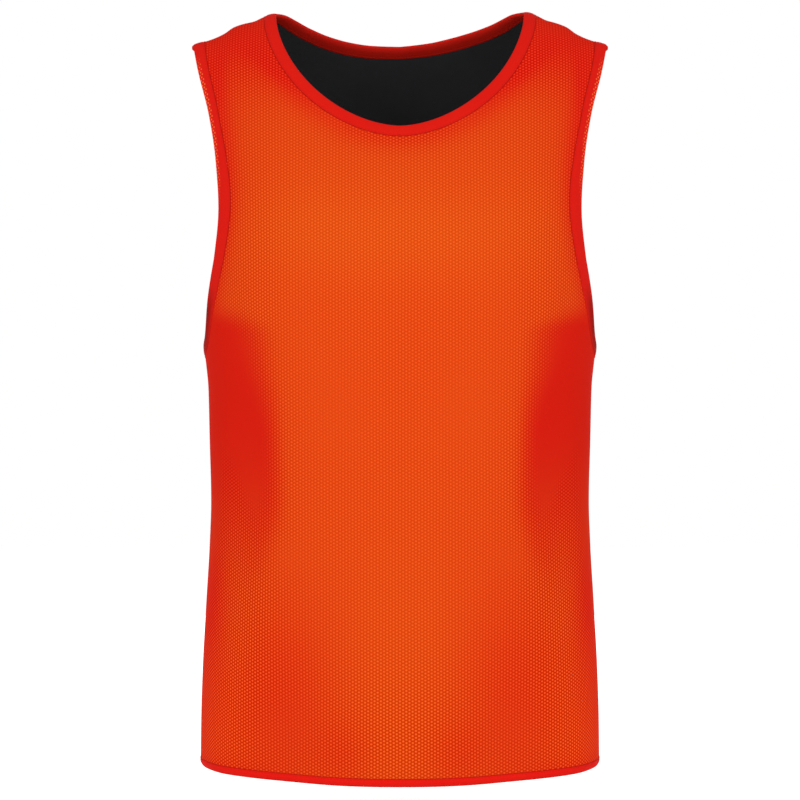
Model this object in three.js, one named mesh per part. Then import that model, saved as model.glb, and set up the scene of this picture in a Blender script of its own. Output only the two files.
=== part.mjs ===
// A reversible training bib: a sleeveless top of two layers of cloth, bound at the neck and
// armholes. It keeps the hollow form that it takes on a general figure, open at the neck, armholes
// and hem. Millimetres, +Z up, front towards -Y, and left and right as seen from the front, so right
// is +X. The origin is midway between the two shoulder seams at the neck, where the wearer's
// shoulders carry the bib.
import * as THREE from "three";

// Driving dimensions of the cut.
const NECK_HALF = 113.5;
const NECK_DROP_FRONT = 111;
const NECK_DROP_BACK = 26;
const NECK_ROUNDNESS = 1.8;
const SHOULDER_HALF = 190;
const ARMPIT_DROP = 306;
const HEM_DROP_SIDE = 691;
const HEM_DIP_FRONT = 7;
const HEM_DIP_BACK = 3;
const HEM_DIP_FOCUS = 3;

// Thickness of the cloth and of the seams.
const LAYER = 1;
const SEAM_GAP = 0.3;
const BINDING_WIDTH = 12;
const BINDING_HALF_THICKNESS = 1.5;
const FOLD_HALF_THICKNESS = 0.7;
const FOLD_ROUNDING = 0.9;
const HEM_WIDTH = 8;
const HEM_CURL = 2.4;

// Shape of the rings and of the rounding over the shoulders.
const RING_ROUNDNESS = 2.3;
const CROWN_FRONT = 260;
const CROWN_BACK = 190;
const CREST = 60;
const SLOPE_FADE = 250;
const FOLD_FADE = 0.5;

// Resolution of the panels and of the bindings.
const EDGE_STEPS = 14;
const FOOT_STEPS = 4;
const ARCH_STEPS = 8;
const BODY_ROWS = 10;
const OUTLINE_SAMPLES = 240;
const END_CROWDING = 0.35;
const INSET_STEP = 3;
const LOCATE_ROUNDS = 30;
const ARCH_CORNER = { inward: 0.7, upward: 0.06 };

const halfGap = SEAM_GAP / 2;
const QUARTER = Math.PI / 2;
const PROBE = 1e-3;

const COLOURS = { shell: 0xdf3f16, lining: 0x1b1d22, binding: 0xdc1a14 };

// Rings of the filled bib: drop below the neck point, half width, and depth to each face.
const RINGS = [
  { drop: 0, half: 200, front: 95, back: 115 },
  { drop: 50, half: 197.5, front: 103, back: 116 },
  { drop: 104, half: 192, front: 112, back: 118 },
  { drop: 150, half: 187, front: 121, back: 120 },
  { drop: 200, half: 183, front: 128, back: 121 },
  { drop: 260, half: 180.2, front: 133, back: 120 },
  { drop: 306, half: 179, front: 134, back: 118 },
  { drop: 324, half: 176.8, front: 133.5, back: 117 },
  { drop: 345, half: 174.8, front: 132, back: 115 },
  { drop: 394, half: 173.6, front: 128, back: 111 },
  { drop: 449, half: 172.3, front: 124, back: 106 },
  { drop: 486, half: 173.5, front: 123, back: 105 },
  { drop: 541, half: 176.7, front: 125, back: 108 },
  { drop: 600, half: 179.9, front: 129, back: 112 },
  { drop: 650, half: 181.4, front: 132, back: 115 },
  { drop: 720, half: 182, front: 134, back: 117 },
];

// The shoulder seam's height, at a distance from the middle.
const SHOULDER_LINE = [
  { out: 0, height: -1 },
  { out: 104, height: -1.5 },
  { out: 116, height: -2.8 },
  { out: 125, height: -5.5 },
  { out: 134, height: -9.6 },
  { out: 143, height: -11.6 },
  { out: 152, height: -14.6 },
  { out: 161, height: -20.6 },
  { out: 171, height: -25.2 },
  { out: 180, height: -28.2 },
  { out: 190, height: -31 },
  { out: 205, height: -36 },
];

// The armhole edges as seen from the front: distance from the middle at each drop.
const ARMHOLE = {
  front: [
    { drop: 31, out: 190 },
    { drop: 62, out: 180.5 },
    { drop: 99, out: 172 },
    { drop: 140, out: 166 },
    { drop: 185, out: 164 },
    { drop: 225, out: 167 },
    { drop: 255, out: 172.3 },
    { drop: 285, out: 175 },
    { drop: 306, out: 179 },
  ],
  back: [
    { drop: 31, out: 190 },
    { drop: 35, out: 191.5 },
    { drop: 50, out: 185.5 },
    { drop: 99, out: 170 },
    { drop: 140, out: 165.5 },
    { drop: 185, out: 165 },
    { drop: 225, out: 169 },
    { drop: 255, out: 174 },
    { drop: 285, out: 177.2 },
    { drop: 306, out: 179 },
  ],
};

// Soft folds, each one repeated on the other side: where across the face it starts and ends,
// its drops, its spread across, and its height, which is negative for a trough.
const FOLDS = {
  front: [
    { startAcross: 0.56, endAcross: 0.6, top: 270, bottom: 620, spread: 0.14, height: -5 },
    { startAcross: 0.3, endAcross: 0.36, top: 470, bottom: 900, spread: 0.13, height: -5 },
    { startAcross: 0.66, endAcross: 0.64, top: 520, bottom: 900, spread: 0.12, height: 4 },
    { startAcross: 0, endAcross: 0, top: 430, bottom: 900, spread: 0.14, height: 2 },
    { startAcross: 0.78, endAcross: 0.42, top: 215, bottom: 345, spread: 0.1, height: -3 },
  ],
  back: [
    { startAcross: 0, endAcross: 0, top: 90, bottom: 620, spread: 0.2, height: -3.5 },
    { startAcross: 0.4, endAcross: 0.34, top: 300, bottom: 900, spread: 0.13, height: -6 },
    { startAcross: 0.58, endAcross: 0.6, top: 440, bottom: 900, spread: 0.11, height: 4 },
    { startAcross: 0.76, endAcross: 0.5, top: 215, bottom: 380, spread: 0.1, height: -4 },
  ],
};

// A smooth curve through one column of a table, as a function of its key column.
function smoothColumn(rows, key, column) {
  const xs = rows.map((row) => row[key]);
  const ys = rows.map((row) => row[column]);
  const steps = xs.slice(1).map((x, i) => (ys[i + 1] - ys[i]) / (x - xs[i]));
  const slopes = xs.map((_, i) => {
    const before = steps[Math.max(i - 1, 0)];
    const after = steps[Math.min(i, steps.length - 1)];
    return before * after <= 0 ? 0 : (2 * before * after) / (before + after);
  });
  return (value) => {
    const x = THREE.MathUtils.clamp(value, xs[0], xs[xs.length - 1]);
    const i = Math.min(xs.findLastIndex((start) => start <= x), xs.length - 2);
    const width = xs[i + 1] - xs[i];
    const s = (x - xs[i]) / width;
    const rise = s * s * (3 - 2 * s);
    const leave = s * (1 - s) * (1 - s) * slopes[i] * width;
    const arrive = s * s * (s - 1) * slopes[i + 1] * width;
    return ys[i] + (ys[i + 1] - ys[i]) * rise + leave + arrive;
  };
}

const halfWidth = smoothColumn(RINGS, "drop", "half");
const shoulderHeight = smoothColumn(SHOULDER_LINE, "out", "height");
const FACES = {
  front: { sign: -1, depth: smoothColumn(RINGS, "drop", "front"), crown: CROWN_FRONT, folds: FOLDS.front },
  back: { sign: 1, depth: smoothColumn(RINGS, "drop", "back"), crown: CROWN_BACK, folds: FOLDS.back },
};

// The level counts along the cloth from the shoulder seam, and crowds together over the crest.
const dropAt = (level) => (level < CREST ? level ** 2 / (2 * CREST) : level - CREST / 2);
const levelAt = (drop) => (drop < CREST / 2 ? Math.sqrt(2 * CREST * drop) : drop + CREST / 2);
const slopeShare = (drop) => Math.max(0, 1 - drop / SLOPE_FADE) ** 2;
const crownShare = (drop, height) => Math.sqrt(1 - Math.max(0, 1 - drop / height) ** 2);
const bell = (distance) => Math.exp(-distance * distance);

// How far the folds push a face out at one place across it and one drop.
function foldHeight(folds, across, drop) {
  let height = 0;
  for (const fold of folds) {
    const along = (drop - fold.top) / (fold.bottom - fold.top);
    if (along <= 0 || along >= 1) continue;
    const strength = fold.height * Math.sin(Math.PI * along) ** 2;
    const middle = THREE.MathUtils.lerp(fold.startAcross, fold.endAcross, along);
    for (const side of middle === 0 ? [1] : [-1, 1]) {
      height += strength * bell((across - side * middle) / fold.spread);
    }
  }
  return height * Math.max(0, Math.cos(across * QUARTER)) ** FOLD_FADE;
}

// A point of the cloth's middle surface. Across runs from -1 to 1 between the side seams, and the
// level is positive on the front and negative on the back.
function cloth(across, level) {
  if (Math.abs(across) > 1) return cloth(Math.sign(across) * (2 - Math.abs(across)), -level);
  const face = level >= 0 ? FACES.front : FACES.back;
  const drop = dropAt(Math.abs(level));
  const power = 2 / RING_ROUNDNESS;
  const sine = Math.sin(across * QUARTER);
  const x = halfWidth(drop) * Math.sign(sine) * Math.abs(sine) ** power;
  const depth = face.depth(drop) * crownShare(drop, face.crown);
  const y = face.sign * depth * Math.max(0, Math.cos(across * QUARTER)) ** power;
  const z = shoulderHeight(Math.abs(x)) * slopeShare(drop) - drop;
  const reach = Math.hypot(x, y);
  const swell = reach > 0 ? 1 + foldHeight(face.folds, across, drop) / reach : 1;
  return new THREE.Vector3(x * swell, y * swell, z);
}

function acrossRate(across, level) {
  return cloth(across + PROBE, level).sub(cloth(across - PROBE, level)).divideScalar(2 * PROBE);
}

function levelRate(across, level) {
  return cloth(across, level + PROBE).sub(cloth(across, level - PROBE)).divideScalar(2 * PROBE);
}

// The cloth's outward normal.
function outward(across, level) {
  return levelRate(across, level).cross(acrossRate(across, level)).normalize();
}

// The place on a face that shows at a distance from the middle and a drop in the front view.
function locate(face, x, drop) {
  let level = drop;
  for (let i = 0; i < LOCATE_ROUNDS; i += 1) {
    level = Math.max(0, drop + shoulderHeight(Math.abs(x)) * slopeShare(level));
  }
  const share = Math.min(1, Math.abs(x) / halfWidth(level));
  const across = (Math.sign(x) * Math.asin(share ** (RING_ROUNDNESS / 2))) / QUARTER;
  return { across, level: -face.sign * levelAt(level) };
}

// Crowds evenly spaced shares towards both ends.
const crowded = (share) => share - (END_CROWDING * Math.sin(2 * Math.PI * share)) / (2 * Math.PI);

// Places along an outline, crowded towards both ends, with the same number for any length.
function spread(places, segments) {
  const points = places.map((place) => cloth(place.across, place.level));
  const lengths = [0];
  points.slice(1).forEach((p, i) => lengths.push(lengths[i] + p.distanceTo(points[i])));
  const total = lengths[lengths.length - 1];
  return Array.from({ length: segments + 1 }, (_, k) => {
    const target = Math.min(total * crowded(k / segments), total);
    const i = Math.min(Math.max(lengths.findIndex((l) => l >= target), 1), places.length - 1);
    const s = (target - lengths[i - 1]) / (lengths[i] - lengths[i - 1]);
    return {
      across: THREE.MathUtils.lerp(places[i - 1].across, places[i].across, s),
      level: THREE.MathUtils.lerp(places[i - 1].level, places[i].level, s),
    };
  });
}

// Half of the neckline on one face, from the middle to the shoulder seam.
function neckHalf(face) {
  const places = [];
  for (let i = 0; i <= OUTLINE_SAMPLES; i += 1) {
    const angle = (i / OUTLINE_SAMPLES) * QUARTER;
    const front = face === FACES.front;
    const power = 2 / NECK_ROUNDNESS;
    const x = NECK_HALF * (front ? Math.sin(angle) ** power : Math.sin(angle));
    const drop = front
      ? NECK_DROP_FRONT * Math.max(0, Math.cos(angle)) ** power
      : NECK_DROP_BACK * Math.cos((x / NECK_HALF) * QUARTER);
    places.push(locate(face, x, drop - shoulderHeight(x)));
  }
  places[OUTLINE_SAMPLES].level = 0;
  return spread(places, EDGE_STEPS);
}

// The armhole's edge on one face, from the shoulder seam down to the side seam.
function armholeEdge(face, rows) {
  const out = smoothColumn(rows, "drop", "out");
  const top = rows[0].drop;
  const places = [];
  for (let i = 0; i < OUTLINE_SAMPLES; i += 1) {
    const drop = THREE.MathUtils.lerp(ARMPIT_DROP, top, Math.cos((i / OUTLINE_SAMPLES) * QUARTER));
    places.push(locate(face, out(drop), drop));
  }
  places[0] = { across: locate(face, SHOULDER_HALF, top).across, level: 0 };
  places.push({ across: 1, level: -face.sign * levelAt(ARMPIT_DROP) });
  return spread(places, EDGE_STEPS);
}

// The hem's edge on one face, from the left side seam to the right one, under a row's places.
function hemEdge(face, dip, row) {
  return row.map((place, i) => {
    const across = i === 0 ? -1 : i === row.length - 1 ? 1 : place.across;
    const drop = HEM_DROP_SIDE + dip * Math.cos(across * QUARTER) ** HEM_DIP_FOCUS;
    return { across, level: -face.sign * levelAt(drop) };
  });
}

const mirrored = (places) => places.map(({ across, level }) => ({ across: -across, level }));
const reversed = (places) => [...places].reverse();

// A walk into the cloth, square to a closed outline, from each of its stations. The direction
// is the one that points towards the given vector at the first station.
function inwardWalks(loop, towards) {
  const points = loop.map((place) => cloth(place.across, place.level));
  const starts = loop.map((place, i) => {
    const ahead = points[(i + 1) % loop.length];
    const behind = points[(i + loop.length - 1) % loop.length];
    return outward(place.across, place.level).cross(ahead.clone().sub(behind)).normalize();
  });
  const side = Math.sign(starts[0].dot(towards));
  return loop.map((place, i) => {
    const inward = starts[i].multiplyScalar(side);
    return (distance) => walk(place, alongSeam(place, inward), distance);
  });
}

// The direction itself, or on a shoulder or side seam the seam's own direction nearest to it.
function alongSeam(place, direction) {
  const onShoulder = place.level === 0;
  const onSide = Math.abs(place.across) === 1;
  if (!onShoulder && !onSide) return direction.clone();
  const { across, level } = place;
  const seam = onShoulder ? acrossRate(across, level) : levelRate(across, level);
  return seam.multiplyScalar(Math.sign(seam.dot(direction))).normalize();
}

// The place that lies a distance along the cloth from another, in a starting direction. From a
// seam it stays on the seam.
function walk(place, direction, distance) {
  const steps = Math.max(1, Math.ceil(distance / INSET_STEP));
  const at = { ...place };
  for (let i = 0; i < steps; i += 1) {
    const normal = outward(at.across, at.level);
    direction.addScaledVector(normal, -direction.dot(normal)).normalize();
    const a = acrossRate(at.across, at.level);
    const b = levelRate(at.across, at.level);
    const [aa, ab, bb] = [a.dot(a), a.dot(b), b.dot(b)];
    const [da, db] = [direction.dot(a), direction.dot(b)];
    const scale = distance / steps / (aa * bb - ab * ab);
    if (Math.abs(place.across) !== 1) at.across += (da * bb - db * ab) * scale;
    if (place.level !== 0) at.level += (db * aa - da * ab) * scale;
  }
  return at;
}

// A closed body from points and triangles, turned to face outwards.
function solid(points, triangles) {
  const volume = triangles.reduce((sum, [i, j, k]) => {
    return sum + points[i].dot(points[j].clone().cross(points[k]));
  }, 0);
  const facing = volume < 0 ? triangles.map(([i, j, k]) => [i, k, j]) : triangles;
  const geometry = new THREE.BufferGeometry().setFromPoints(points);
  geometry.setIndex(facing.flat());
  geometry.computeVertexNormals();
  return geometry;
}

// A ring of cloth round a closed outline, with a cross-section of insets and offsets.
function band(loop, towards, section) {
  const walks = inwardWalks(loop, towards);
  const points = walks.flatMap((step) =>
    section.map(({ inset, offset }) => {
      const { across, level } = step(inset);
      return cloth(across, level).addScaledVector(outward(across, level), offset);
    }),
  );
  const triangles = [];
  const size = section.length;
  const stations = loop.length;
  for (let i = 0; i < stations; i += 1) {
    for (let j = 0; j < size; j += 1) {
      const next = ((i + 1) % stations) * size;
      const a = i * size + j;
      const b = i * size + ((j + 1) % size);
      const c = next + ((j + 1) % size);
      const d = next + j;
      triangles.push([a, b, c], [a, c, d]);
    }
  }
  return solid(points, triangles);
}

// The section of a cloth strip folded over an edge, as insets and offsets round it. Its folded edge
// is thinner, and curls inwards by the given amount.
function foldedSection(width, curl) {
  const outerHalf = [
    { inset: 0, offset: FOLD_HALF_THICKNESS },
    { inset: FOLD_ROUNDING, offset: BINDING_HALF_THICKNESS },
    { inset: width / 2, offset: BINDING_HALF_THICKNESS },
    { inset: width, offset: BINDING_HALF_THICKNESS },
  ];
  const innerHalf = reversed(outerHalf).map(({ inset, offset }) => ({ inset, offset: -offset }));
  return [...outerHalf, ...innerHalf].map(({ inset, offset }) => {
    return { inset, offset: offset - curl * (1 - inset / width) ** 2 };
  });
}

const blend = (a, b, share) => ({
  across: THREE.MathUtils.lerp(a.across, b.across, share),
  level: THREE.MathUtils.lerp(a.level, b.level, share),
});

// The arch on the right: from the armhole's foot it leaves nearly level and rises to the neckline.
function archHalf(rails) {
  const foot = rails.arm[EDGE_STEPS - FOOT_STEPS];
  const head = rails.neck[FOOT_STEPS];
  const corner = {
    across: THREE.MathUtils.lerp(foot.across, head.across, ARCH_CORNER.inward),
    level: THREE.MathUtils.lerp(foot.level, head.level, ARCH_CORNER.upward),
  };
  return Array.from({ length: ARCH_STEPS + 1 }, (_, i) => {
    const share = i / ARCH_STEPS;
    return blend(blend(foot, corner, share), blend(corner, head, share), share);
  });
}

// The row across the top of a panel's body, from the left side seam to the right one: the foot of
// each armhole, an arch from there to the neckline, and the neckline's lowest stretch.
function topRow(rails) {
  const foot = reversed(rails.arm.slice(EDGE_STEPS - FOOT_STEPS + 1));
  const neck = reversed(rails.neck.slice(0, FOOT_STEPS));
  const right = [...foot, ...archHalf(rails), ...neck];
  return [...mirrored(right), ...reversed(right).slice(1)];
}

// The places of one panel: rows up from the hem to the top row, and then two straps that stand
// on its arches and end at the shoulder seam.
function panelSheet(rails) {
  const places = [];
  const triangles = [];
  const add = (place) => places.push(place) - 1;
  const span = (a, b) => {
    const [from, to] = [places[a], places[b]];
    return cloth(from.across, from.level).distanceTo(cloth(to.across, to.level));
  };
  const join = (lower, upper) => {
    for (let j = 0; j + 1 < lower.length; j += 1) {
      const [a, b, c, d] = [lower[j], lower[j + 1], upper[j + 1], upper[j]];
      if (span(a, c) < span(b, d)) triangles.push([a, b, c], [a, c, d]);
      else triangles.push([a, b, d], [b, c, d]);
    }
  };
  let row = rails.hem.map(add);
  for (let i = 1; i <= BODY_ROWS; i += 1) {
    const next = rails.hem.map((low, j) => add(blend(low, rails.top[j], i / BODY_ROWS)));
    join(row, next);
    row = next;
  }
  let left = row.slice(FOOT_STEPS, FOOT_STEPS + ARCH_STEPS + 1);
  let right = reversed(row).slice(FOOT_STEPS, FOOT_STEPS + ARCH_STEPS + 1);
  for (const upper of strapRows(rails).slice(1)) {
    const nextLeft = mirrored(upper).map(add);
    const nextRight = upper.map(add);
    join(left, nextLeft);
    join(reversed(right), reversed(nextRight));
    left = nextLeft;
    right = nextRight;
  }
  return { places, triangles };
}

// The right strap's rows, each from the armhole to the neckline, blended from its four edges.
function strapRows(rails) {
  const arch = archHalf(rails);
  const count = EDGE_STEPS - FOOT_STEPS;
  const foot = [rails.arm[count], rails.neck[FOOT_STEPS]];
  const crest = [rails.arm[0], rails.neck[EDGE_STEPS]];
  return Array.from({ length: count + 1 }, (_, row) => {
    const remaining = (count - row) / EDGE_STEPS;
    const rise = 1 - crowded(remaining) / crowded(count / EDGE_STEPS);
    return arch.map((low, j) => {
      const share = j / ARCH_STEPS;
      const high = blend(crest[0], crest[1], share);
      const upright = blend(low, high, rise);
      const sideways = blend(rails.arm[count - row], rails.neck[FOOT_STEPS + row], share);
      const corners = blend(blend(foot[0], foot[1], share), high, rise);
      return {
        across: upright.across + sideways.across - corners.across,
        level: upright.level + sideways.level - corners.level,
      };
    });
  });
}

// One layer of a panel, between two offsets from the middle surface.
function layer({ places, triangles }, from, to) {
  const count = places.length;
  const face = (offset) =>
    places.map(({ across, level }) => cloth(across, level).addScaledVector(outward(across, level), offset));
  const edges = new Map();
  for (const [i, j, k] of triangles) {
    for (const [a, b] of [[i, j], [j, k], [k, i]]) {
      if (!edges.delete(`${b} ${a}`)) edges.set(`${a} ${b}`, [a, b]);
    }
  }
  const walls = [...edges.values()].flatMap(([a, b]) => [
    [b, a, a + count],
    [b, a + count, b + count],
  ]);
  const under = triangles.map(([i, j, k]) => [i + count, k + count, j + count]);
  return solid([...face(to), ...face(from)], [...triangles, ...under, ...walls]);
}

const DOWN = new THREE.Vector3(0, 0, -1);
const UP = new THREE.Vector3(0, 0, 1);
const OUT_RIGHT = new THREE.Vector3(1, 0, 0);

// Keeps a place half a seam gap short of the side seams and of the shoulder seam.
function trimmer(face) {
  const acrossLimit = 1 - (halfGap / face.depth(ARMPIT_DROP)) ** (RING_ROUNDNESS / 2) / QUARTER;
  const levelLimit = (2 * halfGap * Math.sqrt(CREST * face.crown)) / face.depth(0);
  return ({ across, level }) => ({
    across: THREE.MathUtils.clamp(across, -acrossLimit, acrossLimit),
    level: -face.sign * Math.max(Math.abs(level), levelLimit),
  });
}

// The closed outlines of the neck and of the right armhole, front first.
const neckFront = neckHalf(FACES.front);
const neckBack = neckHalf(FACES.back);
const neckLoop = [
  ...neckFront,
  ...reversed(neckBack).slice(1),
  ...mirrored(neckBack).slice(1),
  ...reversed(mirrored(neckFront)).slice(1, -1),
];
const armFront = armholeEdge(FACES.front, ARMHOLE.front);
const armBack = armholeEdge(FACES.back, ARMHOLE.back);
const armLoop = [...armFront, ...reversed(armBack).slice(1, -1)];

// The panels' edges, set back from the outlines by a binding or the hem, and a seam gap.
const insideBinding = (walks) => walks.map((step) => step(BINDING_WIDTH + SEAM_GAP));
const neckInside = insideBinding(inwardWalks(neckLoop, DOWN));
const armInside = insideBinding(inwardWalks(armLoop, OUT_RIGHT.clone().negate()));
const rails = {
  front: {
    neck: neckInside.slice(0, EDGE_STEPS + 1).map(trimmer(FACES.front)),
    arm: armInside.slice(0, EDGE_STEPS + 1).map(trimmer(FACES.front)),
  },
  back: {
    neck: reversed(neckInside.slice(EDGE_STEPS, 2 * EDGE_STEPS + 1)).map(trimmer(FACES.back)),
    arm: [armInside[0], ...reversed(armInside.slice(EDGE_STEPS))].map(trimmer(FACES.back)),
  },
};
rails.front.top = topRow(rails.front);
rails.back.top = topRow(rails.back);

const hemFront = hemEdge(FACES.front, HEM_DIP_FRONT, rails.front.top);
const hemBack = hemEdge(FACES.back, HEM_DIP_BACK, rails.back.top);
const hemLoop = [...hemFront, ...reversed(hemBack).slice(1, -1)];
const hemInside = inwardWalks(hemLoop, UP).map((step) => step(HEM_WIDTH + SEAM_GAP));
const hemCorner = hemFront.length - 1;
rails.front.hem = hemInside.slice(0, hemCorner + 1).map(trimmer(FACES.front));
rails.back.hem = [hemInside[0], ...reversed(hemInside.slice(hemCorner))].map(trimmer(FACES.back));

const bib = new THREE.Group();

function addPiece(name, geometry, colour, roughness) {
  const material = new THREE.MeshStandardMaterial({ color: colour, roughness, metalness: 0 });
  const mesh = new THREE.Mesh(geometry, material);
  mesh.name = name;
  bib.add(mesh);
}

for (const name of ["front", "back"]) {
  const sheet = panelSheet(rails[name]);
  addPiece(`${name}_outer`, layer(sheet, halfGap, halfGap + LAYER), COLOURS.shell, 0.8);
  addPiece(`${name}_inner`, layer(sheet, -halfGap - LAYER, -halfGap), COLOURS.lining, 0.9);
}
const bindingSection = foldedSection(BINDING_WIDTH, 0);
addPiece("neck_binding", band(neckLoop, DOWN, bindingSection), COLOURS.binding, 0.7);
addPiece("hem_band", band(hemLoop, UP, foldedSection(HEM_WIDTH, HEM_CURL)), COLOURS.binding, 0.7);
for (const [name, loop, side] of [["right", armLoop, 1], ["left", mirrored(armLoop), -1]]) {
  const towards = OUT_RIGHT.clone().multiplyScalar(-side);
  addPiece(`armhole_binding_${name}`, band(loop, towards, bindingSection), COLOURS.binding, 0.7);
}

export default bib;
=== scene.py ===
"""The looks of a reversible training bib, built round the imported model.

The cloth is the CAD model's surface, worked out again on a finer grid. Its necklines, armholes,
strip widths and two of its rings are set up to about 4 mm closer to the photo, and its right side
stands as much higher at the neck. Lengths are in millimetres until a mesh is made, left and right
are as seen from the front, so right is +X, and the front faces -Y.
"""

import math

import bpy
import numpy as np
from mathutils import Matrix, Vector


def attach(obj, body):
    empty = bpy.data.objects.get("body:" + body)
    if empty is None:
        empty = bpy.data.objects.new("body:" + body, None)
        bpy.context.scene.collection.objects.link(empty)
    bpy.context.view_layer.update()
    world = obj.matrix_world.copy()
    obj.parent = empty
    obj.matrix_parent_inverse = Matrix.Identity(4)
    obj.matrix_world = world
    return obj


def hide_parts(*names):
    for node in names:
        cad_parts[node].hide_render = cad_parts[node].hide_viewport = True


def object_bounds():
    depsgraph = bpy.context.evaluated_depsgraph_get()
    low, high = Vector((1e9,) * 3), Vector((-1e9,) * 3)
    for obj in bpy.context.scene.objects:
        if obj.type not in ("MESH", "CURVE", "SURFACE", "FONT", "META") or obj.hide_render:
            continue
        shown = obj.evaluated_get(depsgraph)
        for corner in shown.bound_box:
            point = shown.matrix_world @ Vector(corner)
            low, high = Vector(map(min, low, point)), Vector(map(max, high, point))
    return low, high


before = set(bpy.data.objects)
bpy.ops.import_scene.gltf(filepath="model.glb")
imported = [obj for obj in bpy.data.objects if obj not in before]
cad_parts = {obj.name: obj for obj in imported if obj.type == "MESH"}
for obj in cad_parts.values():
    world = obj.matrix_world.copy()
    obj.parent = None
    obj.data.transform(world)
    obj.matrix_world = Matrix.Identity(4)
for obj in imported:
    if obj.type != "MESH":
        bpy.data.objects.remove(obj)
cad_low, cad_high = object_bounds()


def table(columns, *rows):
    """The rows of a table, each as a dictionary with the columns' names."""
    return [dict(zip(columns.split(), row)) for row in rows]


# A millimetre in metres, a quarter turn, and the step over which the cloth's slopes are measured.
MM = 0.001
QUARTER = math.pi / 2
PROBE = 1e-3

# Driving dimensions of the cut.
NECK_HALF = 113.5
NECK_DROP_FRONT = 110.6
NECK_ROUNDNESS = 1.77
SHOULDER_HALF = 190
ARMPIT_DROP = 306
HEM_DROP_SIDE = 691
HEM_DIP = {"front": 7, "back": 3}
HEM_DIP_FOCUS = 3

# Shape of the rings and of the rounding over the shoulders, as in the CAD model.
RING_ROUNDNESS = 2.3
CREST = 60
SLOPE_FADE = 250
FOLD_FADE = 0.5
SIGN = {"front": -1, "back": 1}
CROWN = {"front": 260, "back": 190}

# How far the two layers lie from the cloth's middle surface.
OUTER_OFFSET = 1.15
LINING_OFFSET = -1.15

# The folded strips: their widths, how far the hem curls in, the half thickness, puff, free edge and
# stitched groove of their section, and how far the panels go under them.
BINDING_WIDTH = 11.4
HEM_WIDTH = 7.6
HEM_CURL = 2.4
STRIP_HALF = 1.55
STRIP_PUFF = {"height": 0.35, "roundness": 0.8}
STRIP_LIP = {"upper": 1.5, "lower": 1}
GROOVE = {"depth": 0.3, "half": 0.7}
TUCK = 3

# Resolution of the panels and of the strips.
EDGE_STEPS = 56
FOOT_STEPS = 16
ARCH_STEPS = 32
BODY_ROWS = 72
OUTLINE_SAMPLES = 480
END_CROWDING = 0.35
INSET_STEP = 3
LOCATE_ROUNDS = 30
ARCH_CORNER = {"inward": 0.7, "upward": 0.06}
NOSE_STEPS = 5
STRIP_STEPS = 10

# The tables of lengths along the cloth: their steps, and how far they reach below the hem's sides.
TABLE_STEPS = 260
TABLE_REACH = 20

# Rings of the filled bib: drop below the neck point, half width, and depth to each face. Those at
# drops of 200 and 260 are 2 to 3 mm wider than in the CAD model.
RINGS = table(
    "drop half front back",
    (0, 200, 95, 115),
    (50, 197.5, 103, 116),
    (104, 192, 112, 118),
    (150, 187, 121, 120),
    (200, 184.8, 128, 121),
    (260, 183.2, 133, 120),
    (306, 179, 134, 118),
    (324, 176.8, 133.5, 117),
    (345, 174.8, 132, 115),
    (394, 173.6, 128, 111),
    (449, 172.3, 124, 106),
    (486, 173.5, 123, 105),
    (541, 176.7, 125, 108),
    (600, 179.9, 129, 112),
    (650, 181.4, 132, 115),
    (720, 182, 134, 117),
)

# The shoulder seam's height, at a distance from the middle.
SHOULDER_LINE = table(
    "out height",
    (0, -1),
    (104, -1.5),
    (116, -2.8),
    (125, -5.5),
    (134, -9.6),
    (143, -11.6),
    (152, -14.6),
    (161, -20.6),
    (171, -25.2),
    (180, -28.2),
    (190, -31),
    (205, -36),
)

# The back neckline: how far it lies under the shoulder seam's height.
NECK_BACK = table(
    "out drop",
    (0, 25.6),
    (28, 24.1),
    (47, 21.4),
    (65, 17),
    (84, 10),
    (97, 4),
    (104, 1.3),
    (108.5, 0.4),
    (113.5, 0),
    (118, 0),
)

# The back neckline stands a little higher on the right: where, how widely, how far, and the drops
# over which that sets in and fades.
NECK_LEAN = {"out": 57, "spread": 42, "height": 4.2, "starts": 0, "full": 3, "fade": 90}

# The right shoulder too stands a little higher: where, how widely and how far.
SHOULDER_LEAN = {"out": 122, "spread": 24, "height": 1.5}

# The armhole edges as seen from the front: distance from the middle at each drop.
ARMHOLE = {
    "front": table(
        "drop out",
        (31, 190),
        (56, 184.4),
        (99, 173),
        (140, 166.3),
        (185, 163.2),
        (225, 166.8),
        (243, 170.6),
        (255, 172.5),
        (268, 173.9),
        (280, 174.8),
        (290, 175.6),
        (298, 176.6),
        (303, 178),
        (306, 179),
    ),
    "back": table(
        "drop out",
        (31, 190),
        (32.5, 192),
        (36.5, 188),
        (46, 183),
        (62, 178),
        (99, 170),
        (140, 165.5),
        (185, 164),
        (225, 166.9),
        (246, 169.9),
        (262, 172.2),
        (276, 174.3),
        (288, 176.1),
        (297, 177.6),
        (303, 178.6),
        (306, 179),
    ),
}

# The width of the armhole strip, which widens down its straight stretch.
ARMHOLE_STRIP = table(
    "drop width",
    (31, 11.4),
    (100, 11.4),
    (180, 17),
    (235, 16.5),
    (280, 14),
    (306, 12),
)

# The width of the neck strip along the back, by distance from the middle. In front it is even.
NECK_STRIP_BACK = table(
    "out width",
    (0, 13.6),
    (47, 14.4),
    (90, 14.4),
    (104, 13),
    (113.5, 11.4),
)

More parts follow.
